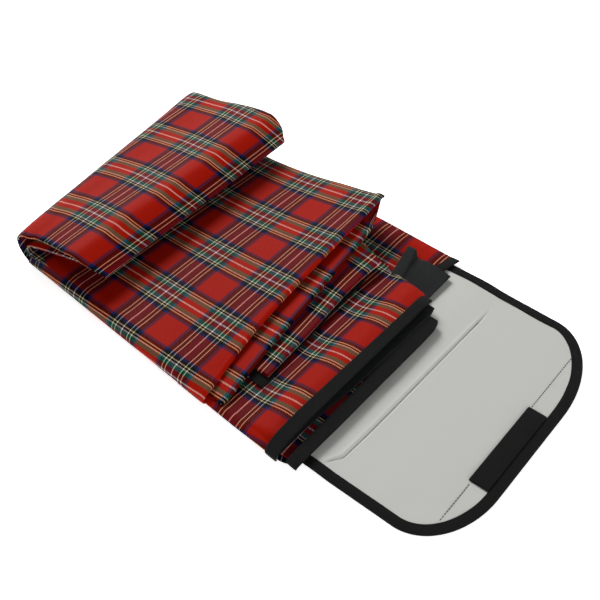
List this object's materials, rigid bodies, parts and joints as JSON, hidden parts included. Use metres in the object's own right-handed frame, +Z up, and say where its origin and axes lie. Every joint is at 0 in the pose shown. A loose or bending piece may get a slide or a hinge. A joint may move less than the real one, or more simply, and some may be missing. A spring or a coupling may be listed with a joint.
{
  "type": "shopping trolley bag",
  "caption": "Folding trolley's tartan shopping bag, folded flat on its back: pleated front, black-bound mouth and pocket, turned-up bottom end, and a hinged lid lying open.",
  "frame": {"origin": "Under the middle of the folded bag's bounding box, on the surface it lies on.", "axes": "+X along the bag from its turned-up bottom end to the lid's free edge, +Y across it, +Z up from its back panel."},
  "size_m": [0.6291, 0.3556, 0.0645],
  "materials": {
    "tartan_cloth": "coated twill, satin",
    "black_binding": "woven tape, matte",
    "black_nylon": "fine plain weave, satin",
    "grey_coating": "smooth coating on cloth, satin",
    "hook_tape": "hooks on woven tape, matte",
    "loop_tape": "brushed loops, matte",
    "thread": "sewing thread, matte"
  },
  "bodies": {
    "bag_body": {"back_panel": "tartan_cloth", "near_gusset": "tartan_cloth", "far_gusset": "tartan_cloth", "near_gusset_binding": "black_binding", "far_gusset_binding": "black_binding", "collar": "black_nylon", "front_fold": "tartan_cloth", "front_panel": "tartan_cloth", "upper_pleat": "tartan_cloth", "lower_pleat": "tartan_cloth", "front_under_pleats": "tartan_cloth", "pocket_bottom": "tartan_cloth", "loop_strip": "loop_tape", "front_mouth": "tartan_cloth", "front_mouth_binding": "black_binding", "pocket_mouth": "tartan_cloth", "pocket_binding": "black_binding"},
    "lid": {"lid_outer": "tartan_cloth", "lid_lining": "grey_coating", "lid_binding": "black_binding", "hook_strip": "hook_tape", "lid_stitching": "thread"},
    "rolled_end": {"back_end": "tartan_cloth", "front_end": "tartan_cloth", "base_panel": "tartan_cloth", "near_gusset_end": "tartan_cloth", "far_gusset_end": "tartan_cloth"}
  },
  "joints": [
    {"name": "lid_hinge", "type": "hinge", "parent": "bag_body", "child": "lid", "pos_m": [0.1576, 0, 0.011], "axis": [0, 1, 0], "range_deg": [-165, 0]},
    {"name": "end_unroll", "type": "hinge", "parent": "bag_body", "child": "rolled_end", "pos_m": [-0.2664, -0.1642, 0.026], "axis": [0.1444, -0.9895, 0], "range_deg": [0, 170]}
  ]
}
